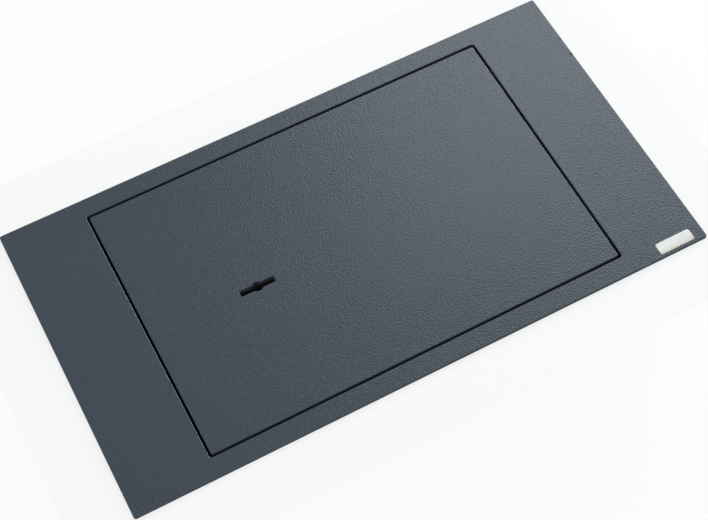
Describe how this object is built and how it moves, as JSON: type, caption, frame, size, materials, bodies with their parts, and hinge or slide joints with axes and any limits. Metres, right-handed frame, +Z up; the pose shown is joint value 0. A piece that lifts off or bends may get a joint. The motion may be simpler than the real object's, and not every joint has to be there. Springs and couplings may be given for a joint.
{
  "type": "floor safe",
  "caption": "Welded steel underfloor safe box with a flush hinged lid, a keyhole slot, sliding round locking bolts and a lever lock behind the lid.",
  "frame": {"origin": "centre of the box's underside, at the middle of the bounding box's bottom", "axes": "+Z up, out of the floor; +X along the long side from the bolts to the hinge; -Y the side nearest the camera in the picture"},
  "size_m": [0.48, 0.26, 0.1503],
  "materials": {
    "grey_paint": "fine-textured slate grey powder coat, semi-gloss",
    "zinc_plate": "zinc-plated steel",
    "bare_steel": "machined bare steel",
    "hard_steel": "blackened hardened steel",
    "lever_brass": "sheet brass",
    "felt": "needled felt",
    "label_white": "blank self-adhesive film"
  },
  "bodies": {
    "safe_body": {"faceplate": "grey_paint", "body_wrap": "grey_paint", "end_wall_left": "grey_paint", "end_wall_right": "grey_paint", "bolt_keeper_bar": "grey_paint", "rest_bar_front": "grey_paint", "rest_bar_rear": "grey_paint", "hinge_bracket_front": "grey_paint", "hinge_bracket_rear": "grey_paint", "hinge_pin_front": "zinc_plate", "hinge_pin_rear": "zinc_plate", "floor_mat": "felt", "blank_label": "label_white"},
    "lid": {"lid_plate": "grey_paint", "hinge_arm_front": "grey_paint", "hinge_arm_rear": "grey_paint", "hinge_washer_front": "zinc_plate", "hinge_washer_rear": "zinc_plate", "hinge_side_dog": "grey_paint", "bolt_guide_front": "grey_paint", "bolt_guide_rear": "grey_paint", "drill_plate": "hard_steel", "lock_stud_1": "zinc_plate", "lock_stud_2": "zinc_plate", "lock_stud_3": "zinc_plate", "lock_stud_4": "zinc_plate", "lock_nut_1": "zinc_plate", "lock_nut_2": "zinc_plate", "lock_nut_3": "zinc_plate", "lock_nut_4": "zinc_plate", "lock_case": "zinc_plate", "lock_cover": "zinc_plate", "cover_screw_1": "zinc_plate", "cover_screw_2": "zinc_plate", "cover_screw_3": "zinc_plate", "cover_screw_4": "zinc_plate", "lever_post": "bare_steel", "lock_bolt_pin": "bare_steel", "lever_spring_comb": "bare_steel"},
    "boltwork": {"round_bolt_front": "bare_steel", "round_bolt_rear": "bare_steel", "bolt_bar": "zinc_plate", "bolt_screw_front": "hard_steel", "bolt_screw_rear": "hard_steel", "lock_bolt": "bare_steel", "lock_bolt_stump": "hard_steel"},
    "key_curtain": {"key_curtain": "hard_steel"},
    "lever_1": {"lever_1": "lever_brass"},
    "lever_2": {"lever_2": "lever_brass"},
    "lever_3": {"lever_3": "lever_brass"},
    "lever_4": {"lever_4": "lever_brass"},
    "lever_5": {"lever_5": "lever_brass"},
    "lever_6": {"lever_6": "lever_brass"}
  },
  "joints": [
    {"name": "lid_hinge", "type": "hinge", "parent": "safe_body", "child": "lid", "pos_m": [0.1375, 0, 0.136], "axis": [0, 1, 0], "range_deg": [0, 100]},
    {"name": "bolt_slide", "type": "slide", "parent": "lid", "child": "boltwork", "axis": [-1, 0, 0], "range_m": [0, 0.018]},
    {"name": "curtain_turn", "type": "hinge", "parent": "lid", "child": "key_curtain", "pos_m": [-0.0825, -0.0047, 0.14], "axis": [0, 0, -1], "range_deg": [0, 180]},
    {"name": "lever_1_swing", "type": "hinge", "parent": "lid", "child": "lever_1", "pos_m": [-0.0975, 0.0143, 0.1275], "axis": [0, 0, 1], "range_deg": [-5.5, 0]},
    {"name": "lever_2_swing", "type": "hinge", "parent": "lid", "child": "lever_2", "pos_m": [-0.0975, 0.0143, 0.1275], "axis": [0, 0, 1], "range_deg": [-4.4, 0]},
    {"name": "lever_3_swing", "type": "hinge", "parent": "lid", "child": "lever_3", "pos_m": [-0.0975, 0.0143, 0.1275], "axis": [0, 0, 1], "range_deg": [-3.6, 0]},
    {"name": "lever_4_swing", "type": "hinge", "parent": "lid", "child": "lever_4", "pos_m": [-0.0975, 0.0143, 0.1275], "axis": [0, 0, 1], "range_deg": [-4.9, 0]},
    {"name": "lever_5_swing", "type": "hinge", "parent": "lid", "child": "lever_5", "pos_m": [-0.0975, 0.0143, 0.1275], "axis": [0, 0, 1], "range_deg": [-4, 0]},
    {"name": "lever_6_swing", "type": "hinge", "parent": "lid", "child": "lever_6", "pos_m": [-0.0975, 0.0143, 0.1275], "axis": [0, 0, 1], "range_deg": [-4.6, 0]}
  ],
  "couplings": [
    {"joint": "curtain_turn", "follows": "bolt_slide", "rad_per_m": 174.53},
    {"joint": "lever_2_swing", "follows": "lever_1_swing", "ratio": 0.7999},
    {"joint": "lever_3_swing", "follows": "lever_1_swing", "ratio": 0.6544},
    {"joint": "lever_4_swing", "follows": "lever_1_swing", "ratio": 0.8908},
    {"joint": "lever_5_swing", "follows": "lever_1_swing", "ratio": 0.7271},
    {"joint": "lever_6_swing", "follows": "lever_1_swing", "ratio": 0.8362}
  ]
}
